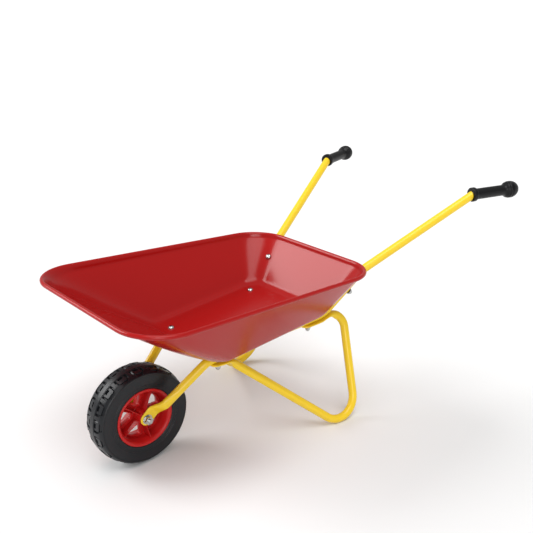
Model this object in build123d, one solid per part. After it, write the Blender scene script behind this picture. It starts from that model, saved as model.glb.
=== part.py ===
"""Child's metal wheelbarrow: pressed steel tray, two bent handle tubes that form
the wheel fork, two bent leg loops, plastic grips and a moulded wheel on a bolt axle.

Frame: +X towards the wheel, +Y to the left of the person pushing, +Z up, floor at Z = 0.
The origin is on the floor, in the middle of the overall length and width. Millimetres.
Measures along the barrow are first given from the wheel axis (x = 0) and then
moved by AXLE_X into the part's frame.
"""
from build123d import *
import math
import os

# ---------------------------------------------------------------- driving dimensions
AXLE_X = 332.1          # wheel axis, in the part's frame
WHEEL_R = 90.0          # outside radius of the tyre
TYRE_HALF = 26.5        # half width of the tyre
RIM_R = 54.3            # radius where the tyre meets the rim lip
RIM_HALF = 24.9         # half width over the rim lips
HUB_R = 10.0            # hub barrel
HUB_HALF = 23.5
AXLE_R = 4.0            # M8 axle bolt
AXLE_FIT = 0.06         # running clearance, radial, between axle and bushes
BUSH_R = 6.0
SPOKES = 5

TUBE_R = 8.0            # 16 mm tube
TUBE_WALL = 1.1
FLAT_T = 3.6            # thickness of a flattened tube end
FLAT_W = 24.0           # width of a flattened tube end

SHEET = 1.4             # tray sheet, measured straight up
BEAD_R = 3.9            # rolled rim of the tray

# tray rim (centre line of the rolled edge): front, rear, half widths, corner radii, heights
RIM_XF, RIM_XR, RIM_BF, RIM_BR = 82.8, -428.7, 192.8, 166.9
RIM_CF, RIM_CR, RIM_ZF, RIM_ZR = 75.3, 72.5, 316.4, 287.5
# tray floor (where floor and walls would meet without the fillet)
FLR_XF, FLR_XR, FLR_BF, FLR_BR = -105.0, -360.0, 110.0, 112.0
FLR_CF, FLR_CR = 28.0, 32.0
FIL_F, FIL_S, FIL_R = 38.0, 22.0, 25.0          # floor fillets: front, sides, rear
FLR_X0, FLR_Z0, FLR_SLOPE = -123.6, 188.2, 0.0751   # underside of the floor, rising to the rear

# handle tube, left side, corner points from the fork end to the grip
H_FORK = (-29.5, 47.0, 116.5)
H_FRONT = (-106.0, 67.0, 178.75)
H_REAR = (-361.6, 88.5, 197.9)
H_WALL = (-429.0, 119.8, 276.2)
H_GRIP = (-652.2, 199.0, 396.9)
GRIP_DIR = (-0.957, 0.290, 0.0)
H_RADII = [38.0, 38.0, 40.0, 16.0]
TUBE_IN_GRIP = 86.0

# fork plate beside the hub
PLATE_Y = 26.6          # inner face of the flattened fork end
FORK_UP = (-0.775, 0.0, 0.632)      # direction of the fork plate, seen from the side

# fastener places on the left side: x, y
BOLT_F = (-124.0, 69.6)
BOLT_R = (-325.0, 83.6)
WALL_T = 0.60           # place of the wall bolt along the steep run behind the tray
BOLT_D = 5.8
HOLE_D = 6.2

# leg loop, left side, corner points
L_FRONT = (-150.0, 77.0, 167.6)
L_FOOT = (-374.7, 177.3, -35.9)
L_TOP = (-408.6, 91.4, 206.4)
LEG_R_FOOT, LEG_R_TOP = 41.7, 30.0

# grip, measured along its axis from the middle of its collar
COLLAR_R, COLLAR_HALF = 13.6, 4.5
GRIP_R = 10.6
BALL_S, BALL_R, GRIP_END = 88.0, 16.4, 106.0

os.makedirs("parts", exist_ok=True)
OUT = {}


def V(p):
    """Point given from the wheel axis, in the part's frame."""
    return Vector(p[0] + AXLE_X, p[1], p[2])


def unit(a):
    n = math.sqrt(sum(c * c for c in a))
    return tuple(c / n for c in a)


def sub(a, b):
    return tuple(x - y for x, y in zip(a, b))


def add(a, b, k=1.0):
    return tuple(x + k * y for x, y in zip(a, b))


def cross(a, b):
    return (a[1] * b[2] - a[2] * b[1], a[2] * b[0] - a[0] * b[2], a[0] * b[1] - a[1] * b[0])


def floor_z(x):
    return FLR_Z0 + FLR_SLOPE * (FLR_X0 - x)


def rim_z(x):
    return RIM_ZF + (RIM_ZR - RIM_ZF) * (x - RIM_XF) / (RIM_XR - RIM_XF)


def mirror_y(s):
    return mirror(s, about=Plane.XZ)


def keep(name, *solids):
    """One node: a single solid, or a group of separate ones."""
    flat = []
    for s in solids:
        flat += list(s.solids())
    OUT[name] = flat[0] if len(flat) == 1 else Compound(children=flat)


def rod(a, b, r):
    """Round bar between two points, given from the wheel axis."""
    d = sub(b, a)
    length = math.sqrt(sum(c * c for c in d))
    pl = Plane(origin=V(a), z_dir=Vector(*d))
    return extrude(pl * Circle(r), length)


# ---------------------------------------------------------------- tray
def wall_out(h, height, run, r):
    """How far a wall stands outside the sharp floor edge at height h, with its fillet."""
    phi = math.atan2(height, run)
    t = r * math.tan(phi / 2)
    if h < t * math.sin(phi):
        return -t + math.sqrt(max(r * r - (r - h) ** 2, 0.0))
    return h / math.tan(phi)


def tray_section(t):
    """Outline of the tray at a fraction t of the way from its floor to its rim."""
    hf = rim_z(RIM_XF) - floor_z(FLR_XF)
    hr = rim_z(RIM_XR) - floor_z(FLR_XR)
    h1 = rim_z(-50) - floor_z(-50)
    h2 = rim_z(-380) - floor_z(-380)
    xf = FLR_XF + wall_out(t * hf, hf, RIM_XF - FLR_XF, FIL_F)
    xr = FLR_XR - wall_out(t * hr, hr, FLR_XR - RIM_XR, FIL_R)
    bf = FLR_BF + wall_out(t * h1, h1, RIM_BF - FLR_BF, FIL_S)
    br = FLR_BR + wall_out(t * h2, h2, RIM_BR - FLR_BR, FIL_S)
    cf = FLR_CF + (RIM_CF - FLR_CF) * t
    cr = FLR_CR + (RIM_CR - FLR_CR) * t
    zf = floor_z(xf) + t * (rim_z(xf) - floor_z(xf))
    zr = floor_z(xr) + t * (rim_z(xr) - floor_z(xr))
    pl = Plane(origin=V((xr, 0, zr)), x_dir=Vector(xf - xr, 0, zf - zr),
               z_dir=Vector(zr - zf, 0, xf - xr))
    length = math.hypot(xf - xr, zf - zr)
    pts = [(length, -bf, cf), (length, bf, cf), (0, br, cr), (0, -br, cr)]
    edges = []
    arcs = []
    for i in range(4):
        p0, p1, p2 = pts[i - 1][:2], pts[i][:2], pts[(i + 1) % 4][:2]
        r = pts[i][2]
        a = unit((p0[0] - p1[0], p0[1] - p1[1], 0))
        b = unit((p2[0] - p1[0], p2[1] - p1[1], 0))
        ang = math.acos(a[0] * b[0] + a[1] * b[1])
        tl = r / math.tan(ang / 2)
        m = unit((a[0] + b[0], a[1] + b[1], 0))
        cen = (p1[0] + m[0] * r / math.sin(ang / 2), p1[1] + m[1] * r / math.sin(ang / 2))
        s = (p1[0] + a[0] * tl, p1[1] + a[1] * tl)
        e = (p1[0] + b[0] * tl, p1[1] + b[1] * tl)
        mid = (cen[0] - m[0] * r, cen[1] - m[1] * r)
        arcs.append((s, mid, e))
    g = lambda q: pl.from_local_coords(Vector(q[0], q[1], 0))
    for i in range(4):
        s, mid, e = arcs[i]
        edges.append(ThreePointArc(g(s), g(mid), g(e)))
        edges.append(Line(g(e), g(arcs[(i + 1) % 4][0])))
    return Wire([x.edge() if hasattr(x, "edge") else x for x in edges])


levels = [0.0, 0.006, 0.024, 0.055, 0.10, 0.16, 0.24, 1.0]
wires = [tray_section(t) for t in levels]
outer = loft([Face(w) for w in wires], ruled=True)
inner = outer.moved(Location((0, 0, SHEET)))
shell = outer - inner
rim_wire = tray_section(1.0)
bead_plane = Plane(origin=rim_wire @ 0, z_dir=rim_wire % 0)
bead = sweep(bead_plane * Circle(BEAD_R), path=rim_wire)
tray = shell + bead


# ---------------------------------------------------------------- tubes
def tube(points, radii, r0, r1=None):
    """Tube along straight runs joined by arcs, points given from the wheel axis."""
    path = FilletPolyline(*[V(p) for p in points], radius=radii)
    w = path.wire() if hasattr(path, "wire") else path
    pl = Plane(origin=w @ 0, z_dir=w % 0)
    return sweep(pl * Circle(r0), path=w)


def ring(pl, f):
    """Outline of the tube's outside, from round (f = 0) to pressed flat (f = 1), in four edges."""
    r = TUBE_R
    c = r * math.cos(math.radians(35)) * (1 - f) + (FLAT_W - FLAT_T) / 2 * f
    s = r * math.sin(math.radians(35)) * (1 - f) + FLAT_T / 2 * f
    top = r * (1 - f) + FLAT_T / 2 * f
    end = r * (1 - f) + FLAT_W / 2 * f
    g = lambda x, y: pl.from_local_coords(Vector(x, y, 0))
    long_side = (lambda k: ThreePointArc(g(k * c, k * s), g(0, k * top), g(-k * c, k * s)).edge()) if f < 0.999 \
        else (lambda k: Line(g(k * c, k * s), g(-k * c, k * s)).edge())
    short = lambda k: ThreePointArc(g(-k * c, k * s), g(-k * end, 0), g(-k * c, -k * s)).edge()
    return Wire([long_side(1), short(1), long_side(-1), short(-1)])


def pressed(stations):
    """Length of tube through stations of (point, direction, wide direction, how flat)."""
    faces = []
    for p, d, wide, f in stations:
        d = unit(d)
        k = sum(x * y for x, y in zip(wide, d))
        w = unit(tuple(x - k * y for x, y in zip(wide, d)))
        faces.append(Face(ring(Plane(origin=V(p), z_dir=Vector(*d), x_dir=Vector(*w)), f)))
    return loft(faces)


def arc_stations(corner, d_in, d_out, r, marks, wide):
    """Stations on the arc that rounds a corner of the tube's centre line."""
    d_in, d_out = unit(d_in), unit(d_out)
    turn = math.acos(sum(x * y for x, y in zip(d_in, d_out)))
    tl = r * math.tan(turn / 2)
    start = add(corner, d_in, -tl)
    k = sum(x * y for x, y in zip(d_in, d_out))
    inward = unit(tuple(o - k * i for i, o in zip(d_in, d_out)))
    out = []
    for m, f in marks:
        t = turn * m
        p = add(add(start, d_in, r * math.sin(t)), inward, r * (1 - math.cos(t)))
        d = tuple(i * math.cos(t) + n * math.sin(t) for i, n in zip(d_in, inward))
        out.append((p, d, wide, f))
    return start, out


def plate(p0, p1, wide, thick, end0, end1):
    """Flat strip from p0 to p1 with round ends where asked."""
    d = unit(sub(p1, p0))
    n = unit(cross(d, wide))
    w = cross(n, d)
    length = math.sqrt(sum(c * c for c in sub(p1, p0)))
    pl = Plane(origin=V(add(p0, n, -thick / 2)), x_dir=Vector(*d), z_dir=Vector(*n))
    sk = pl * Pos(length / 2, 0) * Rectangle(length, FLAT_W)
    if end0:
        sk += pl * Circle(FLAT_W / 2)
    if end1:
        sk += pl * Pos(length, 0) * Circle(FLAT_W / 2)
    return extrude(sk, thick)


def lerp(a, b, t):
    return tuple(x + (y - x) * t for x, y in zip(a, b))


grip_end_pt = add(H_GRIP, GRIP_DIR, TUBE_IN_GRIP)
h_pts = [H_FORK, H_FRONT, H_REAR, H_WALL, H_GRIP, grip_end_pt]
fork_dir = unit(sub(H_FRONT, H_FORK))
fork_flat_top = add((0.0, PLATE_Y + FLAT_T / 2, WHEEL_R), FORK_UP, 15.5)
fork_hub = (0.0, PLATE_Y + FLAT_T / 2, WHEEL_R)

handle = tube(h_pts, H_RADII, TUBE_R)
in_pts = [add(H_FORK, fork_dir, 4.0)] + h_pts[1:-1] + [add(grip_end_pt, GRIP_DIR, 3.0)]
handle = handle - tube(in_pts, H_RADII, TUBE_R - TUBE_WALL)
fork_wide = cross((0.0, 1.0, 0.0), FORK_UP)
fork_back = tuple(-c for c in fork_dir)
plate_down = tuple(-c for c in FORK_UP)
jog = unit(sub(fork_flat_top, H_FORK))
fork_press = pressed([(H_FORK, fork_back, fork_wide, 0.0), (lerp(H_FORK, fork_flat_top, 0.2), add(fork_back, jog, 0.6), fork_wide, 0.12),
                      (lerp(H_FORK, fork_flat_top, 0.5), jog, fork_wide, 0.5),
                      (lerp(H_FORK, fork_flat_top, 0.8), add(plate_down, jog, 0.6), fork_wide, 0.88), (fork_flat_top, plate_down, fork_wide, 1.0)])
fork_plate = plate(fork_hub, fork_flat_top, cross((0.0, 1.0, 0.0), FORK_UP), FLAT_T, True, False)
handle = handle + fork_press + fork_plate

# leg loop: flat under the front bolt, strut down and back, foot, upright, flat under the rear bolt
tube_z = lambda x: floor_z(x) - TUBE_R
flat_dir = unit((-1.0, 0.0, FLR_SLOPE))
leg_bolt_f = (BOLT_F[0], BOLT_F[1], floor_z(BOLT_F[0]) - 2 * TUBE_R - FLAT_T / 2 - 0.30)
leg_bolt_r = (BOLT_R[0], BOLT_R[1], floor_z(BOLT_R[0]) - 2 * TUBE_R - FLAT_T / 2 - 0.30)
strut_dir = unit(sub(L_FOOT, L_FRONT))
leg_flat_f = (-143.0, 74.6, leg_bolt_f[2] + 19.4 * FLR_SLOPE)
leg_round_f = add(L_FRONT, strut_dir, 10.0)
leg_flat_r = (-352.0, 87.4, leg_bolt_r[2] + 30.0 * FLR_SLOPE)
front_run = unit(sub(leg_flat_f, leg_bolt_f))
rear_run = unit(sub(leg_flat_r, leg_bolt_r))
upright = unit(sub(L_TOP, L_FOOT))
top_run = unit(sub(leg_flat_r, L_TOP))
wide_r = cross(rear_run, (0.0, 0.0, 1.0))
wide_f = cross(front_run, (0.0, 0.0, 1.0))
top_start, top_arc = arc_stations(L_TOP, upright, top_run, LEG_R_TOP,
                                  [(0.0, 0.0), (0.25, 0.0), (0.48, 0.0), (0.62, 0.1), (0.74, 0.4), (0.87, 0.8), (1.0, 1.0)], wide_r)
leg = tube([leg_round_f, L_FOOT, top_start], [LEG_R_FOOT], TUBE_R)
leg = leg - tube([add(leg_round_f, strut_dir, 3.0), L_FOOT, add(top_start, upright, -1.0)], [LEG_R_FOOT], TUBE_R - TUBE_WALL)
leg = leg + pressed(top_arc)
leg = leg + pressed([(leg_round_f, tuple(-c for c in strut_dir), wide_f, 0.0), (lerp(leg_round_f, L_FRONT, 0.55), tuple(-c for c in strut_dir), wide_f, 0.3),
                     (lerp(L_FRONT, leg_flat_f, 0.35), sub(leg_flat_f, L_FRONT), wide_f, 0.8), (leg_flat_f, tuple(-c for c in front_run), wide_f, 1.0)])
leg = leg + plate(leg_bolt_f, leg_flat_f, wide_f, FLAT_T, True, False)
leg = leg + plate(leg_bolt_r, leg_flat_r, wide_r, FLAT_T, True, False)
leg = leg + plate(leg_flat_r, top_arc[-1][0], wide_r, FLAT_T, False, False)

# ---------------------------------------------------------------- fasteners
up = unit((FLR_SLOPE, 0.0, 1.0))                # normal of the floor


def pan_bolt(seat, axis, grip_len):
    """Pan-head bolt: seat is the point under the head, axis points out of the head."""
    pl = Plane(origin=V(seat), z_dir=Vector(*axis))
    prof = make_face(Polyline((0, 0), (6.0, 0), (6.0, 1.2)).edges() +
                     [ThreePointArc((6.0, 1.2), (4.6, 2.9), (0, 3.9)).edge()] + Polyline((0, 3.9), (0, 0)).edges())
    head = revolve(Plane.XZ * prof, Axis.Z)
    slot = Pos(0, 0, 3.2) * (Box(6.0, 1.1, 2.4) + Box(1.1, 6.0, 2.4))
    shank = Pos(0, 0, -grip_len / 2) * Cylinder(BOLT_D / 2, grip_len)
    return pl * (head - slot + shank)


def cap_nut(seat, axis):
    """Domed cap nut: seat is the face that presses on the washer, axis points out of the dome."""
    pl = Plane(origin=V(seat), z_dir=Vector(*axis))
    hexa = extrude(RegularPolygon(5.0 / math.cos(math.pi / 6), 6), 4.6)
    dome = Pos(0, 0, 4.6) * (Cylinder(4.5, 1.6, align=(Align.CENTER, Align.CENTER, Align.MIN)))
    ball = Pos(0, 0, 5.9) * Sphere(4.4)
    ball = ball - Pos(0, 0, -10 + 4.6) * Box(20, 20, 20)
    nut = hexa + dome + ball
    return pl * (nut - Cylinder(HOLE_D / 2, 6.6, align=(Align.CENTER, Align.CENTER, Align.MIN)))


def washer(seat, axis, ro, ri, t):
    """Flat washer standing on its seat, axis pointing away from the seat."""
    pl = Plane(origin=V(seat), z_dir=Vector(*axis))
    return extrude(pl * (Circle(ro) - Circle(ri)), t)


down = tuple(-c for c in up)


def floor_stack(x, y):
    """Bolt, washer and nut through floor, handle tube and flattened leg end."""
    top = (x, y, floor_z(x) + SHEET)
    under = add((x, y, floor_z(x)), down, 2 * TUBE_R + FLAT_T + 0.55)
    bolt = pan_bolt(add(top, up, 0.02), up, SHEET + 2 * TUBE_R + FLAT_T + 1.2 + 5.6)
    return bolt, washer(under, down, 6.5, HOLE_D / 2, 1.2), cap_nut(add(under, down, 1.22), down)


fb, fw, fn = floor_stack(*BOLT_F)
rb, rw, rn = floor_stack(*BOLT_R)
hole_f = rod((BOLT_F[0] - 0.0, BOLT_F[1], floor_z(BOLT_F[0]) + 20), (BOLT_F[0] - 2.0, BOLT_F[1], floor_z(BOLT_F[0]) - 40), HOLE_D / 2)


def drill(x, y):
    a = add((x, y, floor_z(x)), up, 12.0)
    return rod(a, add(a, down, 60.0), HOLE_D / 2)


# wall bolt: through the tray's rear corner and the steep run of the handle
wall_c = lerp(H_REAR, H_WALL, WALL_T)
run_dir = unit(sub(H_WALL, H_REAR))
w_out = (-0.76, 0.08, -0.62)
k = sum(a * b for a, b in zip(w_out, run_dir))
w_out = unit(tuple(a - k * b for a, b in zip(w_out, run_dir)))     # square to the tube
wall_drill = rod(add(wall_c, w_out, -26.0), add(wall_c, w_out, 26.0), HOLE_D / 2)
w_in = tuple(-c for c in w_out)
wall_head = 11.9        # tube centre to the underside of the head, inside the tray
wb = pan_bolt(add(wall_c, w_in, wall_head), w_in, wall_head + TUBE_R + 0.05 + 1.22 + 5.0)
ww = washer(add(wall_c, w_out, TUBE_R + 0.05), w_out, 6.5, HOLE_D / 2, 1.2)
wn = cap_nut(add(wall_c, w_out, TUBE_R + 0.05 + 1.22), w_out)

cuts = drill(*BOLT_F) + drill(*BOLT_R) + wall_drill
handle = handle - cuts - rod((0, 10, WHEEL_R), (0, 45, WHEEL_R), AXLE_R + 0.25)
leg = leg - drill(*BOLT_F) - drill(*BOLT_R)
tray = tray - cuts - mirror_y(cuts)

# ---------------------------------------------------------------- grip
def grip_solid():
    pts = [(-COLLAR_HALF, 11.3), (-COLLAR_HALF, COLLAR_R - 1.2), (-COLLAR_HALF + 1.2, COLLAR_R),
           (COLLAR_HALF - 1.2, COLLAR_R), (COLLAR_HALF, COLLAR_R - 1.2), (COLLAR_HALF + 0.6, GRIP_R),
           (BALL_S - 16.5, GRIP_R - 0.4), (BALL_S - 13.0, 13.4), (BALL_S - 9.5, 15.2),
           (BALL_S - 8.4, 14.2), (BALL_S - 7.0, 15.8), (BALL_S - 3.2, BALL_R), (BALL_S - 2.0, BALL_R - 1.2),
           (BALL_S - 0.8, BALL_R), (BALL_S + 3.4, BALL_R - 0.3), (BALL_S + 4.6, BALL_R - 1.6),
           (BALL_S + 5.8, BALL_R - 1.0), (BALL_S + 10.0, 14.0), (BALL_S + 14.0, 10.6), (GRIP_END - 1.0, 5.5), (GRIP_END, 0.0),
           (TUBE_IN_GRIP + 1.0, 0.0), (TUBE_IN_GRIP + 1.0, TUBE_R + 0.05), (COLLAR_HALF + 1.0, TUBE_R + 0.05),
           (COLLAR_HALF + 0.5, 11.3)]
    prof = make_face(Polyline(*[(r, s) for s, r in pts], close=True))
    solid = revolve(Plane.XZ * prof, Axis.Z)
    pl = Plane(origin=V(H_GRIP), z_dir=Vector(*GRIP_DIR), x_dir=Vector(*cross(GRIP_DIR, (0.0, 0.0, 1.0))))
    return pl * solid


grip = grip_solid()

# ---------------------------------------------------------------- wheel
hubc = V((0, 0, WHEEL_R))
wheel_plane = Plane(origin=hubc, x_dir=Vector(1, 0, 0), z_dir=Vector(0, -1, 0))   # local Y is up


def spun(points):
    """Ring turned about the axle; points are (radius, sideways)."""
    prof = make_face(Polyline(*points, close=True))
    s = revolve(Plane.XZ * prof, Axis.Z)             # about local Z
    return Pos(*hubc) * Rot(-90, 0, 0) * s           # local Z becomes +Y


T = TYRE_HALF
tyre = spun([(RIM_R - 4.5, -20.5), (RIM_R + 0.1, -RIM_HALF + 1.4), (RIM_R + 1.2, -RIM_HALF - 0.2), (60, -T + 0.4), (70, -T),
             (78, -T + 0.3), (82.5, -T + 1.2), (86.2, -T + 3.6), (88.0, -T + 7.5), (89.2, -9), (WHEEL_R, -4), (WHEEL_R, 4),
             (89.2, 9), (88.0, T - 7.5), (86.2, T - 3.6), (82.5, T - 1.2), (78, T - 0.3), (70, T), (60, T - 0.4),
             (RIM_R + 1.2, RIM_HALF + 0.2), (RIM_R + 0.1, RIM_HALF - 1.4), (RIM_R - 4.5, 20.5)])
barrel = spun([(46.5, -20.0), (49.0, -23.6), (50.6, -RIM_HALF), (RIM_R, -RIM_HALF), (RIM_R, -23.5), (RIM_R - 4.6, -20.5),
               (RIM_R - 4.6, 20.5), (RIM_R, 23.5), (RIM_R, RIM_HALF), (50.6, RIM_HALF), (49.0, 23.6), (46.5, 20.0), (45.6, 2.2),
               (45.6, -2.2)])
disc = spun([(8.0, -2.0), (47.0, -2.0), (47.0, 2.0), (8.0, 2.0)])
hub = spun([(BUSH_R, -HUB_HALF), (HUB_R, -HUB_HALF), (HUB_R + 1.5, 0), (HUB_R, HUB_HALF), (BUSH_R, HUB_HALF)])


def turned(angle):
    """Turn about the axle; the angle grows from +X up towards +Z."""
    return Pos(*hubc) * Rot(0, -angle, 0)


def fan(r0, r1, a0, a1, thick):
    """Flat fan-shaped block, centred on the wheel's middle plane, opening towards +X."""
    pts = [(r0 * math.cos(a0 * 0.62), -r0 * math.sin(a0 * 0.62)), (r1 * math.cos(a1), -r1 * math.sin(a1)),
           (r1 * 1.035, 0), (r1 * math.cos(a1), r1 * math.sin(a1)), (r0 * math.cos(a0 * 0.62), r0 * math.sin(a0 * 0.62))]
    face = make_face(Polyline(*pts, close=True))
    return Rot(90, 0, 0) * extrude(face, thick / 2, both=True)


window = fan(18.0, 40.0, 0.34, 0.36, 8.0)
frame_out = fan(15.5, 43.0, 0.45, 0.42, 12.0)
frame_ring = frame_out - fan(18.0, 40.0, 0.34, 0.36, 16.0)
rib = Pos(28.0, 0, 0) * Box(38.0, 1.8, 1.0)
wheel_rim = barrel + disc + hub
for i in range(SPOKES):
    a = 6.0 + 360.0 / SPOKES * i
    wheel_rim = wheel_rim + turned(a) * frame_ring
for i in range(SPOKES):
    a = 6.0 + 360.0 / SPOKES * i
    wheel_rim = wheel_rim - turned(a) * window
    b = a + 180.0 / SPOKES
    web = Pos(28.0, 0, 0) * Box(38.5, 36.0, 1.8)
    wheel_rim = wheel_rim + turned(b) * web
bush_in = AXLE_R + AXLE_FIT
bush = spun([(bush_in, 13.0), (BUSH_R, 13.0), (BUSH_R, HUB_HALF), (8.6, HUB_HALF), (8.6, HUB_HALF + 1.1), (bush_in, HUB_HALF + 1.1)])

# axle: bolt head on the right, washer and nut on the left
head_y = PLATE_Y + FLAT_T + 1.25
axle_bolt = spun([(0, -head_y), (AXLE_R, -head_y), (AXLE_R, head_y + 8.6), (AXLE_R - 0.9, head_y + 9.6), (0, head_y + 9.6)])
hexa = Rot(90, 0, 0) * extrude(RegularPolygon(6.5 / math.cos(math.pi / 6), 6), 5.3)
axle_bolt = axle_bolt + Pos(hubc.X, -head_y, hubc.Z) * hexa.moved(Location((0, 0, 0)))
nut_hex = Rot(-90, 0, 0) * extrude(RegularPolygon(6.5 / math.cos(math.pi / 6), 6) - Circle(AXLE_R + 0.12), 6.5)
axle_nut = Pos(hubc.X, head_y + 0.02, hubc.Z) * nut_hex
ax_w = spun([(AXLE_R + 0.3, PLATE_Y + FLAT_T + 0.03), (9.0, PLATE_Y + FLAT_T + 0.03), (9.0, head_y - 0.02), (AXLE_R + 0.3, head_y - 0.02)])
ax_s = spun([(AXLE_R + 0.2, HUB_HALF + 1.5), (8.0, HUB_HALF + 1.5), (8.0, PLATE_Y - 0.03), (AXLE_R + 0.2, PLATE_Y - 0.03)])

# ---------------------------------------------------------------- nodes
keep("tray", tray)
keep("handle_left", handle)
keep("handle_right", mirror_y(handle))
keep("leg_left", leg)
keep("leg_right", mirror_y(leg))
keep("grip_left", grip)
keep("grip_right", mirror_y(grip))
keep("front_floor_bolts", fb, mirror_y(fb))
keep("rear_floor_bolts", rb, mirror_y(rb))
keep("wall_bolts", wb, mirror_y(wb))
keep("front_floor_washers", fw, mirror_y(fw))
keep("rear_floor_washers", rw, mirror_y(rw))
keep("wall_washers", ww, mirror_y(ww))
keep("front_floor_nuts", fn, mirror_y(fn))
keep("rear_floor_nuts", rn, mirror_y(rn))
keep("wall_nuts", wn, mirror_y(wn))
keep("axle_bolt", axle_bolt)
keep("axle_nut", axle_nut)
keep("axle_washers", ax_w, mirror_y(ax_w))
keep("axle_spacers", ax_s, mirror_y(ax_s))
keep("wheel_tyre", tyre)
keep("wheel_rim", wheel_rim)
keep("hub_bushes", bush, mirror_y(bush))

for name, shape in OUT.items():
    export_step(shape, f"parts/{name}.step")
    bb = shape.bounding_box()
    print(f"{name:22s} {len(shape.solids())} solids  {shape.volume:10.0f} mm3  "
          f"x {bb.min.X:7.1f} {bb.max.X:7.1f}  y {bb.min.Y:7.1f} {bb.max.Y:7.1f}  z {bb.min.Z:7.1f} {bb.max.Z:7.1f}")
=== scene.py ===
import bpy
import bmesh
import math
import random
from mathutils import Vector, Matrix


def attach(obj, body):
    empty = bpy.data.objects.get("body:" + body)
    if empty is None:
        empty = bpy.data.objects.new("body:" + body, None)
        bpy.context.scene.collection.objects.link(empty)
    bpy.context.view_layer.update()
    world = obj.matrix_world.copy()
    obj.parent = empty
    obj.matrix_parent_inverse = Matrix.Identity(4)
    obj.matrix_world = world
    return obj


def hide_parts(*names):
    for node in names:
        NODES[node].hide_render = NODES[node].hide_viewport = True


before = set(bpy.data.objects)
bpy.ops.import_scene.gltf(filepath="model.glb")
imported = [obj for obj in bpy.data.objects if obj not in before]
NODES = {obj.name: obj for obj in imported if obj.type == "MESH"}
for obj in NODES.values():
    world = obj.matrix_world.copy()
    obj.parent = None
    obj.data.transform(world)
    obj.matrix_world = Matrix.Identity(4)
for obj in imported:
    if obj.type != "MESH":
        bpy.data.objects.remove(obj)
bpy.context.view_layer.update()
random.seed(7)

AX = 332.1            # wheel axis along X, mm
WHEEL_R, TYRE_HALF, RIM_R, RIM_HALF = 90.0, 26.5, 54.3, 24.9
TUBE_R, FLAT_T, FLAT_W, SHEET, BEAD_R = 8.0, 3.6, 24.0, 1.4, 3.9


def m(p):
    """Millimetres from the wheel axis to metres in the row frame."""
    return Vector(((p[0] + AX) / 1000.0, p[1] / 1000.0, p[2] / 1000.0))


# ------------------------------------------------------------------ small vector helpers
def unit(a):
    n = math.sqrt(sum(c * c for c in a))
    return tuple(c / n for c in a)


def sub(a, b):
    return tuple(x - y for x, y in zip(a, b))


def add(a, b, k=1.0):
    return tuple(x + k * y for x, y in zip(a, b))


def dot(a, b):
    return sum(x * y for x, y in zip(a, b))


def cross(a, b):
    return (a[1] * b[2] - a[2] * b[1], a[2] * b[0] - a[0] * b[2], a[0] * b[1] - a[1] * b[0])


def lerp(a, b, t):
    return tuple(x + (y - x) * t for x, y in zip(a, b))


def smooth(t):
    t = min(1.0, max(0.0, t))
    return t * t * (3 - 2 * t)


# ------------------------------------------------------------------ materials
def material(name, color, rough=0.4, metal=0.0, coat=0.0, coat_rough=0.05, spec=0.5,
             tint=0.04, tint_scale=30.0, rough_var=0.06, rough_scale=60.0, bump=0.04, bump_scale=900.0,
             bump_dist=0.0002, dirt=0.0):
    mat = bpy.data.materials.new(name)
    mat.use_nodes = True
    nt = mat.node_tree
    b = nt.nodes["Principled BSDF"]
    tc = nt.nodes.new("ShaderNodeTexCoord")
    n1 = nt.nodes.new("ShaderNodeTexNoise")
    n1.inputs["Scale"].default_value = tint_scale
    n1.inputs["Detail"].default_value = 4.0
    nt.links.new(tc.outputs["Object"], n1.inputs["Vector"])
    ramp = nt.nodes.new("ShaderNodeMapRange")
    ramp.inputs["To Min"].default_value = 1.0 - tint
    ramp.inputs["To Max"].default_value = 1.0 + tint
    nt.links.new(n1.outputs["Fac"], ramp.inputs["Value"])
    mul = nt.nodes.new("ShaderNodeVectorMath")
    mul.operation = "SCALE"
    mul.inputs[0].default_value = color[:3]
    nt.links.new(ramp.outputs["Result"], mul.inputs["Scale"])
    nt.links.new(mul.outputs["Vector"], b.inputs["Base Color"])
    n2 = nt.nodes.new("ShaderNodeTexNoise")
    n2.inputs["Scale"].default_value = rough_scale
    n2.inputs["Detail"].default_value = 5.0
    nt.links.new(tc.outputs["Object"], n2.inputs["Vector"])
    r2 = nt.nodes.new("ShaderNodeMapRange")
    r2.inputs["To Min"].default_value = max(0.02, rough - rough_var)
    r2.inputs["To Max"].default_value = min(1.0, rough + rough_var)
    nt.links.new(n2.outputs["Fac"], r2.inputs["Value"])
    nt.links.new(r2.outputs["Result"], b.inputs["Roughness"])
    n3 = nt.nodes.new("ShaderNodeTexNoise")
    n3.inputs["Scale"].default_value = bump_scale
    n3.inputs["Detail"].default_value = 3.0
    nt.links.new(tc.outputs["Object"], n3.inputs["Vector"])
    bp = nt.nodes.new("ShaderNodeBump")
    bp.inputs["Strength"].default_value = bump
    bp.inputs["Distance"].default_value = bump_dist
    nt.links.new(n3.outputs["Fac"], bp.inputs["Height"])
    nt.links.new(bp.outputs["Normal"], b.inputs["Normal"])
    b.inputs["Metallic"].default_value = metal
    b.inputs["Specular IOR Level"].default_value = spec
    b.inputs["Coat Weight"].default_value = coat
    b.inputs["Coat Roughness"].default_value = coat_rough
    return mat


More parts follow.
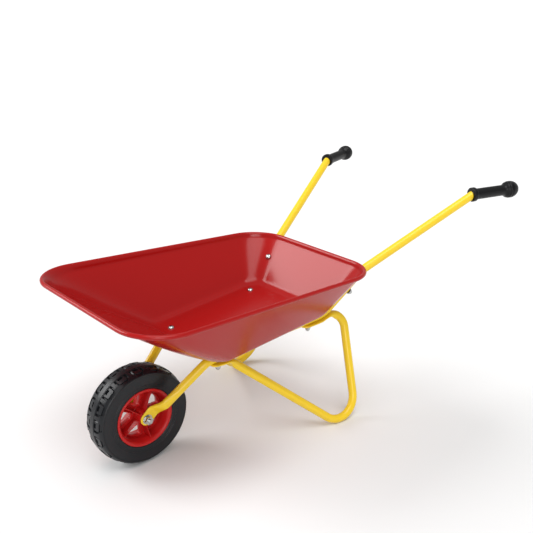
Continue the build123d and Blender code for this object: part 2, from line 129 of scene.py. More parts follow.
RED = material("red_powder_coat", (0.355, 0.0060, 0.0055), rough=0.19, rough_var=0.03, tint=0.02, tint_scale=9.0,
               spec=0.27, bump=0.004, bump_scale=300.0, bump_dist=0.0002)
YELLOW = material("yellow_powder_coat", (0.83, 0.57, 0.020), rough=0.24, rough_var=0.03, tint=0.015, tint_scale=18.0,
                  spec=0.40, bump=0.004, bump_scale=420.0, bump_dist=0.0002)
RUBBER = material("tyre_rubber", (0.0085, 0.0094, 0.0115), rough=0.34, rough_var=0.06, tint=0.12, tint_scale=40.0,
                  spec=0.32, bump=0.02, bump_scale=1400.0, bump_dist=0.0003)
RIMRED = material("red_rim_plastic", (0.48, 0.009, 0.009), rough=0.34, rough_var=0.04, tint=0.04, tint_scale=40.0,
                  spec=0.3, bump=0.005, bump_scale=900.0)
GRIP = material("grip_plastic", (0.0045, 0.0046, 0.0054), rough=0.34, rough_var=0.05, tint=0.15, tint_scale=60.0,
                spec=0.24, bump=0.02, bump_scale=1600.0, bump_dist=0.0003)
ZINC = material("zinc_plate", (0.50, 0.51, 0.50), rough=0.22, rough_var=0.08, metal=1.0, tint=0.08, tint_scale=240.0,
                bump=0.08, bump_scale=1500.0)
# painted shade: the washers by the frame nuts are coloured dark brown to stand for the shadowed gap between nut and
# tube, not for a dark washer
WASHER_PAINTED_SHADE = material("dark_washer", (0.055, 0.045, 0.03), rough=0.6, tint=0.15, tint_scale=300.0, bump=0.1, bump_scale=1500.0)
BUSH = material("bush_plastic", (0.03, 0.03, 0.03), rough=0.5, tint=0.15, tint_scale=200.0, bump=0.1, bump_scale=1500.0)


# ------------------------------------------------------------------ mesh helpers
def make(name, verts, faces, mat, body, replaces=(), angle=35.0):
    me = bpy.data.meshes.new(name)
    me.from_pydata([tuple(m(v)) for v in verts], [], faces)
    bm = bmesh.new()
    bm.from_mesh(me)
    bmesh.ops.remove_doubles(bm, verts=bm.verts, dist=1e-6)
    bmesh.ops.recalc_face_normals(bm, faces=bm.faces)
    lim = math.radians(angle)
    for f in bm.faces:
        f.smooth = True
    for e in bm.edges:
        e.smooth = not (len(e.link_faces) != 2 or e.calc_face_angle(0.0) > lim)
    bm.to_mesh(me)
    bm.free()
    me.materials.append(mat)
    o = bpy.data.objects.new(name, me)
    bpy.context.scene.collection.objects.link(o)
    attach(o, body)
    if replaces:
        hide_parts(*replaces)
    return o


def flip_y(verts):
    return [(v[0], -v[1], v[2]) for v in verts]


def skin(rings, cap0=True, cap1=True, closed=False):
    """Quads between rings of equal count."""
    n = len(rings[0])
    verts = [p for r in rings for p in r]
    faces = []
    k = len(rings)
    for i in range(k if closed else k - 1):
        a, b = i * n, ((i + 1) % k) * n
        for j in range(n):
            q = (j + 1) % n
            faces.append((a + j, a + q, b + q, b + j))
    if not closed:
        if cap0:
            faces.append(tuple(range(n))[::-1])
        if cap1:
            faces.append(tuple((k - 1) * n + j for j in range(n)))
    return verts, faces


def spin_y(profile, seg, fn=None, cy=(0.0, 90.0)):
    """Closed profile of (radius, y) turned about the axle."""
    rings = []
    for i in range(seg):
        a = 2 * math.pi * i / seg
        ring = []
        for r, y in profile:
            if fn:
                r, y = fn(r, y, a)
            ring.append((cy[0] + r * math.cos(a), y, cy[1] + r * math.sin(a)))
        rings.append(ring)
    return skin(rings, closed=True)


# ------------------------------------------------------------------ tray
RIM_XF, RIM_XR, RIM_BF, RIM_BR = 82.8, -428.7, 192.8, 166.9
RIM_CF, RIM_CR, RIM_ZF, RIM_ZR = 75.3, 72.5, 316.4, 287.5
FLR_XF, FLR_XR, FLR_BF, FLR_BR = -105.0, -360.0, 110.0, 112.0
FLR_CF, FLR_CR = 28.0, 32.0
FIL_F, FIL_S, FIL_R = 38.0, 22.0, 25.0
FLR_X0, FLR_Z0, FLR_SLOPE = -123.6, 188.2, 0.0751


def floor_z(x):
    return FLR_Z0 + FLR_SLOPE * (FLR_X0 - x)


def rim_z(x):
    return RIM_ZF + (RIM_ZR - RIM_ZF) * (x - RIM_XF) / (RIM_XR - RIM_XF)


def wall_out(h, height, run, r):
    phi = math.atan2(height, run)
    t = r * math.tan(phi / 2)
    if h < t * math.sin(phi):
        return -t + math.sqrt(max(r * r - (r - h) ** 2, 0.0))
    return h / math.tan(phi)


SIDE_N, ARC_N = 14, 18


def outline(xf, xr, bf, br, cf, cr):
    """Rounded four-sided outline in plan, (x, y), with the same count of points each time."""
    pts = [(xf, -bf, cf), (xf, bf, cf), (xr, br, cr), (xr, -br, cr)]
    arcs = []
    for i in range(4):
        p0, p1, p2 = pts[i - 1][:2], pts[i][:2], pts[(i + 1) % 4][:2]
        r = pts[i][2]
        a = unit(sub(p0, p1))
        b = unit(sub(p2, p1))
        ang = math.acos(max(-1, min(1, dot(a, b))))
        mm = unit(add(a, b))
        cen = add(p1, mm, r / math.sin(ang / 2))
        s = add(p1, a, r / math.tan(ang / 2))
        e = add(p1, b, r / math.tan(ang / 2))
        a0 = math.atan2(s[1] - cen[1], s[0] - cen[0])
        a1 = math.atan2(e[1] - cen[1], e[0] - cen[0])
        d = (a1 - a0 + math.pi) % (2 * math.pi) - math.pi
        arcs.append([(cen[0] + r * math.cos(a0 + d * k / ARC_N), cen[1] + r * math.sin(a0 + d * k / ARC_N)) for k in range(ARC_N + 1)])
    out = []
    for i in range(4):
        out += arcs[i]
        s, e = arcs[i][-1], arcs[(i + 1) % 4][0]
        out += [lerp(s, e, k / SIDE_N) for k in range(1, SIDE_N)]
    return out


def tray_ring(t, dz=0.0, inset=0.0):
    hf = rim_z(RIM_XF) - floor_z(FLR_XF)
    hr = rim_z(RIM_XR) - floor_z(FLR_XR)
    h1 = rim_z(-50) - floor_z(-50)
    h2 = rim_z(-380) - floor_z(-380)
    xf = FLR_XF + wall_out(t * hf, hf, RIM_XF - FLR_XF, FIL_F) - inset
    xr = FLR_XR - wall_out(t * hr, hr, FLR_XR - RIM_XR, FIL_R) + inset
    bf = FLR_BF + wall_out(t * h1, h1, RIM_BF - FLR_BF, FIL_S) - inset
    br = FLR_BR + wall_out(t * h2, h2, RIM_BR - FLR_BR, FIL_S) - inset
    cf = max(FLR_CF + (RIM_CF - FLR_CF) * t - inset, 3.0)
    cr = max(FLR_CR + (RIM_CR - FLR_CR) * t - inset, 3.0)
    zf = floor_z(xf) + t * (rim_z(xf) - floor_z(xf))
    zr = floor_z(xr) + t * (rim_z(xr) - floor_z(xr))
    return [(x, y, zr + (zf - zr) * (x - xr) / (xf - xr) + dz) for x, y in outline(xf, xr, bf, br, cf, cr)]


def outward(ring):
    n = len(ring)
    res = []
    for i in range(n):
        t = sub(ring[(i + 1) % n], ring[i - 1])
        o = unit((t[1], -t[0], 0.0))
        res.append(o)
    cx = sum(p[0] for p in ring) / n
    if dot(res[0], (ring[0][0] - cx, ring[0][1], 0)) < 0:
        res = [(-o[0], -o[1], 0.0) for o in res]
    return res


levels = [0.0, 0.003, 0.008, 0.015, 0.025, 0.04, 0.055, 0.075, 0.10, 0.13, 0.17, 0.22, 0.3, 0.4, 0.5, 0.6, 0.7, 0.8, 0.9, 0.96]
rings = [tray_ring(0.0, 0.0, k) for k in (80.0, 40.0, 12.0, 3.0)]
rings += [tray_ring(t) for t in levels]
rim = tray_ring(1.0)
low = tray_ring(0.96)
out_n = outward(rim)
bead_n = 16
arcs = [[] for _ in range(bead_n + 1)]
phis = []
for i, c in enumerate(rim):
    o = out_n[i]
    w = sub(c, low[i])
    phi = math.atan2(w[2], dot(w, o))
    phis.append(phi)
    a1 = math.radians(104.0) + phi
    a0 = -math.pi + phi
    for k in range(bead_n + 1):
        a = a0 + (a1 - a0) * k / bead_n
        arcs[k].append((c[0] + o[0] * BEAD_R * math.cos(a), c[1] + o[1] * BEAD_R * math.cos(a), c[2] + BEAD_R * math.sin(a)))
rings += arcs
for t in (0.985, 0.975, 0.965, 0.955, 0.945, 0.93, 0.915):
    k = smooth((t - 0.91) / 0.085)
    row = []
    for c, o, phi in zip(tray_ring(t), out_n, phis):
        off = SHEET * math.cos(phi) * (1 - k) + 3.78 * k
        row.append((c[0] - o[0] * math.sin(phi) * off, c[1] - o[1] * math.sin(phi) * off, c[2] + math.cos(phi) * off))
    rings.append(row)
rings += [tray_ring(t, SHEET) for t in reversed(levels[:-1])]
rings += [tray_ring(0.0, SHEET, k) for k in (3.0, 12.0, 40.0, 80.0)]
tv, tf = skin(rings)
make("tray_visual", tv, tf, RED, "frame", ["tray"], angle=60)

# ------------------------------------------------------------------ tubes
RN = 28


def ring_xy(f, half=None):
    """Outline of a tube from round (0) to pressed flat (1); half is the half width where the flat end is rounded off."""
    hw = FLAT_W / 2 if half is None else half
    e = FLAT_T / 2
    out = []
    lim = math.radians(33.6)
    for i in range(RN):
        t = 2 * math.pi * (i + 0.5) / RN
        c, s = math.cos(t), math.sin(t)
        sx, sy = (1 if c >= 0 else -1), (1 if s >= 0 else -1)
        q = math.acos(min(1.0, abs(c)))
        ee = min(e, hw * 0.6)
        if q > lim:
            fx, fy = (hw - ee) * min(1.0, abs(c) * 1.2), e
        else:
            psi = q / lim * math.pi / 2
            fx, fy = hw - ee + ee * math.cos(psi), e * math.sin(psi)
        out.append(((1 - f) * TUBE_R * c + f * sx * fx, (1 - f) * TUBE_R * s + f * sy * fy))
    return out


def sweep(stations, wide0, wide1=None):
    """stations: (point, direction, flatness, half width or None). Rings carried along, turned evenly to end at wide1."""
    frames = []
    w = None
    for p, d, f, h in stations:
        d = unit(d)
        if w is None:
            w = unit(add(wide0, d, -dot(wide0, d)))
        else:
            w = unit(add(w, d, -dot(w, d)))
        frames.append((p, d, w, f, h))
    twist = 0.0
    if wide1 is not None:
        d = frames[-1][1]
        g = unit(add(wide1, d, -dot(wide1, d)))
        w = frames[-1][2]
        twist = math.atan2(dot(cross(w, g), d), dot(w, g))
        if twist > math.pi / 2:
            twist -= math.pi
        if twist < -math.pi / 2:
            twist += math.pi
    lens = [0.0]
    for a, b in zip(frames, frames[1:]):
        lens.append(lens[-1] + math.sqrt(sum(c * c for c in sub(b[0], a[0]))))
    rs = []
    for (p, d, w, f, h), s in zip(frames, lens):
        k = twist * smooth((s / lens[-1] - 0.15) / 0.7)
        n = cross(d, w)
        w2 = add(tuple(c * math.cos(k) for c in w), n, math.sin(k))
        n2 = cross(d, w2)
        rs.append([add(add(p, w2, x), n2, y) for x, y in ring_xy(f, h)])
    return skin(rs)


def bend_pts(corner, d_in, d_out, r, n):
    """Points and directions on the arc that rounds a corner."""
    d_in, d_out = unit(d_in), unit(d_out)
    turn = math.acos(max(-1, min(1, dot(d_in, d_out))))
    tl = r * math.tan(turn / 2)
    start = add(corner, d_in, -tl)
    inward = unit(add(d_out, d_in, -dot(d_in, d_out)))
    out = []
    for i in range(n + 1):
        t = turn * i / n
        p = add(add(start, d_in, r * math.sin(t)), inward, r * (1 - math.cos(t)))
        out.append((p, tuple(a * math.cos(t) + b * math.sin(t) for a, b in zip(d_in, inward))))
    return out


H_FORK = (-29.5, 47.0, 116.5)
H_FRONT = (-106.0, 67.0, 178.75)
H_REAR = (-361.6, 88.5, 197.9)
H_WALL = (-429.0, 119.8, 276.2)
H_GRIP = (-652.2, 199.0, 396.9)
GRIP_DIR = (-0.957, 0.290, 0.0)
PLATE_Y = 26.6
FORK_UP = (-0.775, 0.0, 0.632)
HUB = (0.0, PLATE_Y + FLAT_T / 2, 90.0)
FTOP = add(HUB, FORK_UP, 15.5)
fork_wide = cross((0.0, 1.0, 0.0), FORK_UP)
fork_dir = unit(sub(H_FRONT, H_FORK))

st = []
hw = FLAT_W / 2
for q in (11.97, 11.72, 11.15, 10.3, 9.0, 7.0, 4.6, 2.3):
    st.append((add(HUB, FORK_UP, -q), FORK_UP, 1.0, max(0.5, math.sqrt(max(hw * hw - q * q, 0.0)))))
for q in (0.0, 5.0, 10.0, 13.5, 15.5):
    st.append((add(HUB, FORK_UP, q), FORK_UP, 1.0, None))
N = 16
chord = math.sqrt(sum(c * c for c in sub(H_FORK, FTOP)))
for i in range(1, N + 1):
    t = i / N
    h00, h10, h01, h11 = 2 * t**3 - 3 * t**2 + 1, t**3 - 2 * t**2 + t, -2 * t**3 + 3 * t**2, t**3 - t**2
    g = chord * 0.75
    p = tuple(h00 * a + h10 * g * u + h01 * b + h11 * g * v for a, u, b, v in zip(FTOP, FORK_UP, H_FORK, fork_dir))
    e00, e10, e01, e11 = 6 * t * t - 6 * t, 3 * t * t - 4 * t + 1, -6 * t * t + 6 * t, 3 * t * t - 2 * t
    d = tuple(e00 * a + e10 * g * u + e01 * b + e11 * g * v for a, u, b, v in zip(FTOP, FORK_UP, H_FORK, fork_dir))
    st.append((p, d, 1 - 0.62 * smooth(t), None))
for q in (4.0, 8.0, 12.0, 16.0, 20.0, 24.0, 28.0, 32.0):
    st.append((add(H_FORK, fork_dir, q), fork_dir, 0.38 * (1 - smooth(q / 32.0)), None))
corners = [H_FORK, H_FRONT, H_REAR, H_WALL, H_GRIP, add(H_GRIP, GRIP_DIR, 84.0)]
for i, r in zip((1, 2, 3, 4), (38.0, 38.0, 40.0, 16.0)):
    for p, d in bend_pts(corners[i], sub(corners[i], corners[i - 1]), sub(corners[i + 1], corners[i]), r, 10):
        st.append((p, d, 0.0, None))
st.append((corners[-1], GRIP_DIR, 0.0, None))
hv, hf = sweep(st, fork_wide)
make("handle_left_visual", hv, hf, YELLOW, "frame", ["handle_left"])
make("handle_right_visual", flip_y(hv), hf, YELLOW, "frame", ["handle_right"])

# legs
BOLT_F, BOLT_R = (-124.0, 69.6), (-325.0, 83.6)
L_FRONT, L_FOOT, L_TOP = (-150.0, 77.0, 167.6), (-374.7, 177.3, -35.9), (-408.6, 91.4, 206.4)
bf = (BOLT_F[0], BOLT_F[1], floor_z(BOLT_F[0]) - 2 * TUBE_R - FLAT_T / 2 - 0.30)
br = (BOLT_R[0], BOLT_R[1], floor_z(BOLT_R[0]) - 2 * TUBE_R - FLAT_T / 2 - 0.30)
ff = (-143.0, 74.6, bf[2] + 19.4 * FLR_SLOPE)
fr = (-352.0, 87.4, br[2] + 30.0 * FLR_SLOPE)
front_run, rear_run = unit(sub(ff, bf)), unit(sub(fr, br))
wide_r, wide_f = cross(rear_run, (0.0, 0.0, 1.0)), cross(front_run, (0.0, 0.0, 1.0))
top_run, upright, strut = unit(sub(fr, L_TOP)), unit(sub(L_TOP, L_FOOT)), unit(sub(L_FOOT, L_FRONT))
st = []
for q in (11.97, 11.72, 11.15, 10.3, 9.0, 7.0, 4.6, 2.3):
    st.append((add(br, rear_run, -q), rear_run, 1.0, max(0.5, math.sqrt(max(hw * hw - q * q, 0.0)))))
st.append((br, rear_run, 1.0, None))
st.append((lerp(br, fr, 0.7), rear_run, 1.0, None))
arc = bend_pts(L_TOP, upright, top_run, 30.0, 20)
arc.reverse()
back_top = tuple(-c for c in top_run)
st.append((lerp(fr, arc[0][0], 0.15), unit(add(rear_run, back_top)), 1.0, None))
st.append((lerp(fr, arc[0][0], 0.75), back_top, 1.0, None))
for i, (p, d) in enumerate(arc):
    mk = 1.0 - i / 20.0
    f = smooth((mk - 0.50) / 0.50)
    st.append((p, tuple(-c for c in d), f, None))
down_dir = tuple(-c for c in upright)
up_strut = tuple(-c for c in strut)
for p, d in bend_pts(L_FOOT, down_dir, up_strut, 41.7, 20):
    st.append((p, d, 0.0, None))
round_f = add(L_FRONT, strut, 10.0)
st.append((add(round_f, strut, 10.0), up_strut, 0.0, None))
a0, a1 = round_f, ff
e_dir = tuple(-c for c in front_run)
for i in range(0, 13):
    t = i / 12
    g = 20.0
    h00, h10, h01, h11 = 2 * t**3 - 3 * t**2 + 1, t**3 - 2 * t**2 + t, -2 * t**3 + 3 * t**2, t**3 - t**2
    p = tuple(h00 * a + h10 * g * u + h01 * b + h11 * g * v for a, u, b, v in zip(a0, up_strut, a1, e_dir))
    e00, e10, e01, e11 = 6 * t * t - 6 * t, 3 * t * t - 4 * t + 1, -6 * t * t + 6 * t, 3 * t * t - 2 * t
    d = tuple(e00 * a + e10 * g * u + e01 * b + e11 * g * v for a, u, b, v in zip(a0, up_strut, a1, e_dir))
    st.append((p, d, smooth(t), None))
st.append((bf, e_dir, 1.0, None))
for q in (2.3, 4.6, 7.0, 9.0, 10.3, 11.15, 11.72, 11.97):
    st.append((add(bf, e_dir, q), e_dir, 1.0, max(0.5, math.sqrt(max(hw * hw - q * q, 0.0)))))
lv, lf = sweep(st, wide_r, wide_f)
make("leg_left_visual", lv, lf, YELLOW, "frame", ["leg_left"])
make("leg_right_visual", flip_y(lv), lf, YELLOW, "frame", ["leg_right"])

# ------------------------------------------------------------------ grips
prof = [(-4.5, 8.4), (-4.5, 12.0), (-4.2, 12.9), (-3.6, 13.4), (-2.6, 13.6), (2.6, 13.6), (3.6, 13.4), (4.2, 12.9),
        (4.6, 12.2), (5.0, 11.2), (5.8, 10.7), (8.0, 10.55)]
prof += [(s, 10.55 - 0.15 * (s - 8) / 62.0) for s in (10.0, 12.0, 14.0, 20.0, 30.0, 40.0, 50.0, 60.0, 64.0, 66.0, 69.0)]
prof += [(72.5, 10.6), (74.0, 11.5), (75.5, 12.9), (77.0, 14.1), (78.0, 14.9), (78.7, 15.1), (79.3, 14.6), (79.8, 14.3),
         (80.4, 14.8), (81.0, 15.7), (82.6, 16.15), (84.2, 16.35), (85.4, 16.2), (85.9, 15.4), (86.4, 15.4), (86.9, 16.3), (88.4, 16.4),
         (90.4, 16.3), (91.6, 16.0), (92.2, 15.1), (92.8, 15.1), (93.3, 15.6), (95.0, 15.0), (96.6, 14.3), (98.2, 13.4), (99.8, 12.3),
         (101.2, 11.0), (102.6, 9.4), (104.0, 7.3), (105.0, 5.2), (105.7, 2.8), (105.95, 0.8)]
gx = unit(GRIP_DIR)
gy = unit(cross((0.0, 0.0, 1.0), gx))
gz = cross(gx, gy)
GN = 96
rs = []
for s, r in prof:
    ring = []
    for i in range(GN):
        a = 2 * math.pi * i / GN
        rr = r * (0.992 if s > 76.0 else 1.0)
        if 10.0 < s < 68.0:
            rr = r + 0.0 - 0.34 * (0.5 - 0.5 * math.cos(24 * a))
        c = add(H_GRIP, gx, s)
        ring.append(add(add(c, gy, rr * math.cos(a)), gz, rr * math.sin(a)))
    rs.append(ring)
gv, gf = skin(rs)
make("grip_left_visual", gv, gf, GRIP, "frame", ["grip_left"], angle=50)
make("grip_right_visual", flip_y(gv), gf, GRIP, "frame", ["grip_right"], angle=50)

# ------------------------------------------------------------------ tyre
CELLS = 18
OFF = math.radians(9.0)


def pocket_half(y):
    """Half width of the tread pocket, in radians, at a distance y from the middle."""
    if y < 15.5:
        return math.radians(7.7)
    return math.radians(7.7 - 4.3 * smooth((y - 15.5) / 9.0) if y < 24.5 else 3.4)


def base_r(y):
    """Radius of the tread and shoulder at y."""
    y = abs(y)
    if y <= 4.6:
        return WHEEL_R
    if y <= 5.4:
        return WHEEL_R - 0.5 * (y - 4.6) / 0.8
    if y <= 19.0:
        return WHEEL_R - 0.5 - 1.6 * ((y - 5.4) / 13.6) ** 1.6
    return None


tread_rows = [0.0, 2.4, 4.2, 4.6, 5.4, 6.0, 6.5, 8.0, 9.6, 10.9, 11.3, 13.0, 15.5, 17.5, 19.0]
shoulder = [(87.4, 20.4), (86.9, 21.6), (86.2, 22.8), (85.4, 23.8), (84.9, 24.4), (84.3, 25.2), (83.7, 25.8), (83.0, 26.2),
            (82.2, 26.35), (81.5, 26.2), (80.9, 25.85), (80.0, 25.75), (78.0, 25.95), (74.0, 26.35), (70.0, 26.5), (66.5, 26.42), (64.2, 26.3), (63.9, 26.0), (63.5, 26.0), (63.2, 26.25), (61.6, 26.15),
            (61.3, 25.85), (60.9, 25.85), (60.6, 26.05), (58.5, 25.8), (56.5, 25.4), (55.6, 25.0), (55.0, 24.2), (54.6, 23.6), (54.3, 22.8),
            (50.2, 20.6), (49.8, 19.0), (49.8, 10.0)]
side = [(base_r(y), y, 0) for y in tread_rows] + [(r, y, 1) for r, y in shoulder]
depth_rows = {6.5: 1, 8.0: 1, 9.6: 1, 10.9: 1, 11.3: 2, 13.0: 2, 15.5: 2, 17.5: 2, 19.0: 2}
prof_t = []
for r, y, k in reversed(side):
    prof_t.append((r, -y))
for r, y, k in side[1:]:
    prof_t.append((r, y))
rings = []
K = 20
for c in range(CELLS):
    for j in range(K):
        ring = []
        for r, y in prof_t:
            ay = abs(y)
            ph = pocket_half(ay)
            nh = min(math.radians(2.7), ph * 0.6)
            half = math.pi / CELLS
            e = math.radians(0.30)
            marks = [-half + e, -half * 0.5 - ph * 0.5, -ph - e, -ph + e, -ph * 0.8 - nh * 0.2, -ph * 0.5 - nh * 0.5, -nh - e, -nh + e * 0.6, -nh * 0.35, -nh * 0.1,
                     nh * 0.1, nh * 0.35, nh - e * 0.6, nh + e, ph * 0.5 + nh * 0.5, ph * 0.8 + nh * 0.2, ph - e, ph + e, half * 0.5 + ph * 0.5, half - e]
            a = OFF + 2 * math.pi * c / CELLS + marks[j]
            in_pocket = 3 <= j <= 16
            in_notch = 7 <= j <= 12
            d = 0.0
            if 6.4 < ay < 24.6 and in_pocket:
                d = 3.1
                if 11.2 < ay < 19.5 and 5 <= j <= 14:
                    d = 1.1
                if ay < 11.0 and not in_notch and 5 <= j <= 14:
                    d = 1.1
                if ay < 11.0 and in_notch:
                    d = 3.7
                if ay >= 19.5:
                    d = 2.9
            if ay > 19.0:
                rr, yy = r - d * 0.85, y - math.copysign(d * 0.45, y)
            else:
                rr, yy = r - d, y
            ring.append((rr * math.cos(a), yy, 90.0 + rr * math.sin(a)))
        rings.append(ring)
yv, yf = skin(rings, closed=True)
make("tyre_visual", yv, yf, RUBBER, "wheel", ["wheel_tyre"], angle=32)

# ------------------------------------------------------------------ rim
barrel = [(46.2, -19.0), (48.0, -22.4), (49.6, -24.2), (50.4, -24.75), (51.2, -24.9), (53.2, -24.9), (53.9, -24.6), (54.2, -24.0), (54.2, -23.3),
          (49.8, -20.3), (49.8, 20.3), (54.2, 23.3), (54.2, 24.0), (53.9, 24.6), (53.2, 24.9), (51.2, 24.9), (50.4, 24.75), (49.6, 24.2), (48.0, 22.4),
          (46.2, 19.0), (45.4, 8.0), (44.6, 4.0), (43.6, 2.4), (42.4, 1.8), (42.4, -1.8), (43.6, -2.4), (44.6, -4.0), (45.4, -8.0)]
bv, bf2 = spin_y(barrel, 144)
make("rim_barrel", bv, bf2, RIMRED, "wheel", ["wheel_rim"], angle=50)
hubp = [(6.05, -23.4), (9.4, -23.4), (9.9, -23.0), (10.6, -12.0), (11.4, -3.2), (12.6, -2.0), (14.0, -1.8), (14.0, 1.8), (12.6, 2.0), (11.4, 3.2), (10.6, 12.0),
        (9.9, 23.0), (9.4, 23.4), (6.05, 23.4)]
uv_, uf = spin_y(hubp, 64)
make("rim_hub", uv_, uf, RIMRED, "wheel", angle=50)


def rounded_poly(pts, rad, n=5):
    out = []
    k = len(pts)
    for i in range(k):
        p0, p1, p2 = pts[i - 1], pts[i], pts[(i + 1) % k]
        a, b = unit(sub(p0, p1)), unit(sub(p2, p1))
        ang = math.acos(max(-1, min(1, dot(a, b))))
        if ang > math.radians(165):
            out += [p1] * 1
            continue
        cen = add(p1, unit(add(a, b)), rad / math.sin(ang / 2))
        s, e = add(p1, a, rad / math.tan(ang / 2)), add(p1, b, rad / math.tan(ang / 2))
        a0 = math.atan2(s[1] - cen[1], s[0] - cen[0])
        a1 = math.atan2(e[1] - cen[1], e[0] - cen[0])
        d = (a1 - a0 + math.pi) % (2 * math.pi) - math.pi
        out += [(cen[0] + rad * math.cos(a0 + d * q / n), cen[1] + rad * math.sin(a0 + d * q / n)) for q in range(n + 1)]
    return out


def resample(poly, n):
    k = len(poly)
    ls = [0.0]
    for i in range(k):
        ls.append(ls[-1] + math.hypot(*sub(poly[(i + 1) % k], poly[i])))
    res = []
    for j in range(n):
        s = ls[-1] * j / n
        i = max(q for q in range(k) if ls[q] <= s + 1e-9)
        t = (s - ls[i]) / max(1e-9, ls[i + 1] - ls[i])
        res.append(lerp(poly[i], poly[(i + 1) % k], t))
    return res


def fan_loop(r0, r1, h0, h1, rad, n=64):
    pts = [(r0 * math.cos(h0), -r0 * math.sin(h0))]
    pts += [(r1 * math.cos(h1 * q), r1 * math.sin(h1 * q)) for q in (-1.0, -0.6, -0.2, 0.2, 0.6, 1.0)]
    pts += [(r0 * math.cos(h0), r0 * math.sin(h0))]
    loop = resample(rounded_poly(pts, rad), n * 4)
    # start where the loop crosses the positive x axis, so that loops line up
    best = min(range(len(loop)), key=lambda i: abs(loop[i][1]) - (1000 if loop[i][0] > (r0 + r1) / 2 else 0))
    loop = loop[best:] + loop[:best]
    return resample(loop, n)


inner = fan_loop(17.5, 40.5, 0.26, 0.37, 2.2)
wall = fan_loop(14.8, 43.4, 0.42, 0.465, 3.2)
for i in range(5):
    a = math.radians(6.0 + 72.0 * i)
    ca, sa = math.cos(a), math.sin(a)

    def put(loop, y):
        return [(p[0] * ca - p[1] * sa, y, 90.0 + p[0] * sa + p[1] * ca) for p in loop]

    def mix(t):
        return [lerp(p, q, t) for p, q in zip(inner, wall)]

    rs = [put(inner, 3.0), put(mix(0.12), 4.3), put(mix(0.35), 5.2), put(mix(0.65), 5.2), put(mix(0.88), 4.4), put(wall, 2.8), put(wall, -2.8),
          put(mix(0.88), -4.4), put(mix(0.65), -5.2), put(mix(0.35), -5.2), put(mix(0.12), -4.3), put(inner, -3.0)]
    fv, fff = skin(rs, closed=True)
    make("rim_window_frame_%d" % i, fv, fff, RIMRED, "wheel", angle=40)
    # spoke plate between this window and the next, and its web
    b = a + math.radians(36.0)
    sp = []
    nseg = 10
    for k in range(nseg + 1):
        r = 12.5 + (43.5 - 12.5) * k / nseg
        half = math.radians(36.0) - (0.33 + 0.10 * smooth((r - 14) / 26.0))
        if r < 16.5:
            half = math.radians(36.4)
        if r > 42.0:
            half = math.radians(36.4)
        row = []
        for q in range(9):
            t = b + half * (q / 4.0 - 1)
            row.append((r * math.cos(t), 90.0 + r * math.sin(t)))
        sp.append(row)
    vs, fs = [], []
    for yy in (1.9, -1.9):
        for row in sp:
            for x, z in row:
                vs.append((x, yy, z))
    off = (nseg + 1) * 9
    for k in range(nseg):
        for q in range(8):
            i0 = k * 9 + q
            fs.append((i0, i0 + 1, i0 + 10, i0 + 9))
            fs.append((off + i0, off + i0 + 9, off + i0 + 10, off + i0 + 1))
        fs.append((k * 9, k * 9 + 9, off + k * 9 + 9, off + k * 9))
        fs.append((k * 9 + 8, off + k * 9 + 8, off + k * 9 + 17, k * 9 + 17))
    fs.append(tuple(list(range(0, 9)) + [off + q for q in range(8, -1, -1)]))
    e0 = nseg * 9
    fs.append(tuple([e0 + q for q in range(8, -1, -1)] + [off + e0 + q for q in range(0, 9)]))
    make("rim_spoke_%d" % i, vs, fs, RIMRED, "wheel", angle=40)
    cb, sb = math.cos(b), math.sin(b)
    rs = []
    for r, top in ((9.5, 21.5), (16.0, 20.4), (26.0, 18.8), (36.0, 18.6), (42.0, 19.6), (45.9, 20.6)):
        sect = []
        for ty, tt in ((top, -0.6), (top + 0.3, 0.0), (top, 0.6), (0.0, 0.9), (-top, 0.6), (-top - 0.3, 0.0), (-top, -0.6), (0.0, -0.9)):
            sect.append((r * cb - tt * sb, ty, 90.0 + r * sb + tt * cb))
        rs.append(sect)
    wv, wf = skin(rs)
    make("rim_web_%d" % i, wv, wf, RIMRED, "wheel", angle=50)

# ------------------------------------------------------------------ fasteners keep their CAD shapes
for n, o in NODES.items():
    mat = None
    # washers by the frame nuts take the dark painted-shade colour; the axle washers stay zinc
    if "washers" in n and "axle" not in n:
        mat = WASHER_PAINTED_SHADE
    elif n == "hub_bushes":
        mat = BUSH
    elif "bolt" in n or "nut" in n or "axle" in n:
        mat = ZINC
    if mat is not None:
        o.data.materials.clear()
        o.data.materials.append(mat)

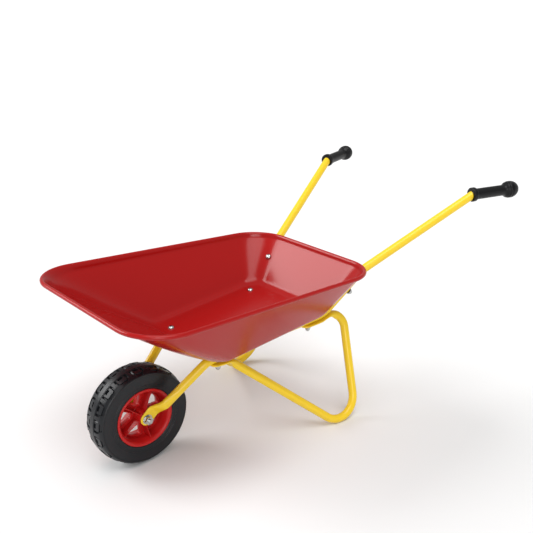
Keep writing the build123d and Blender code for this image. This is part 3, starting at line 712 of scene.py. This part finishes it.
# ------------------------------------------------------------------ floor, light and camera
me = bpy.data.meshes.new("floor")
S = 40.0
me.from_pydata([(-S, -S, 0), (S, -S, 0), (S, S, 0), (-S, S, 0)], [], [(0, 1, 2, 3)])
floor = bpy.data.objects.new("floor", me)
bpy.context.scene.collection.objects.link(floor)
fm = bpy.data.materials.new("floor")
fm.use_nodes = True
fb = fm.node_tree.nodes["Principled BSDF"]
fb.inputs["Base Color"].default_value = (0.78, 0.78, 0.78, 1)
fb.inputs["Roughness"].default_value = 0.9
fb.inputs["Specular IOR Level"].default_value = 0.1
me.materials.append(fm)

world = bpy.data.worlds.new("world")
bpy.context.scene.world = world
world.use_nodes = True
bg = world.node_tree.nodes["Background"]
bg.inputs["Color"].default_value = (1, 1, 1, 1)
bg.inputs["Strength"].default_value = 0.42


def sun(name, toward, strength, angle):
    """Broad sun; toward points from the scene to the light."""
    ld = bpy.data.lights.new(name, "SUN")
    ld.energy = strength
    ld.angle = math.radians(angle)
    o = bpy.data.objects.new(name, ld)
    bpy.context.scene.collection.objects.link(o)
    o.rotation_euler = (-Vector(toward)).to_track_quat("-Z", "Y").to_euler()
    return o


sun("key", (0.48, -0.68, 0.56), 1.9, 34.0)
sun("top", (0.1, 0.25, 1.0), 1.7, 45.0)
sun("fill", (0.55, 0.80, 0.35), 1.0, 30.0)

# camera: rows are right, down and forward
RIGHT = (-0.7448610155648291, 0.667189416074758, -0.006352209816673565)
DOWN = (0.2818894156522733, 0.3060483356773806, -0.9093254497551059)
FWD = (-0.6047482326017593, -0.6791116986968557, -0.4160371087512743)
cam_at = m((564.8138, 1033.6142, 794.4148))
cd = bpy.data.cameras.new("camera")
cd.sensor_width = 36.0
cd.sensor_fit = "HORIZONTAL"
cd.lens = 764.9945 / 533.0 * 36.0
cd.shift_x = (266.5 - 289.3689) / 533.0
cd.shift_y = (318.0335 - 266.5) / 533.0
cd.clip_start, cd.clip_end = 0.05, 200.0
cam = bpy.data.objects.new("camera", cd)
bpy.context.scene.collection.objects.link(cam)
rot = Matrix((RIGHT, tuple(-c for c in DOWN), tuple(-c for c in FWD))).transposed().to_4x4()
cam.matrix_world = Matrix.Translation(cam_at) @ rot
bpy.context.scene.camera = cam
bpy.context.scene.view_settings.view_transform = "Standard"
bpy.context.scene.view_settings.look = "None"
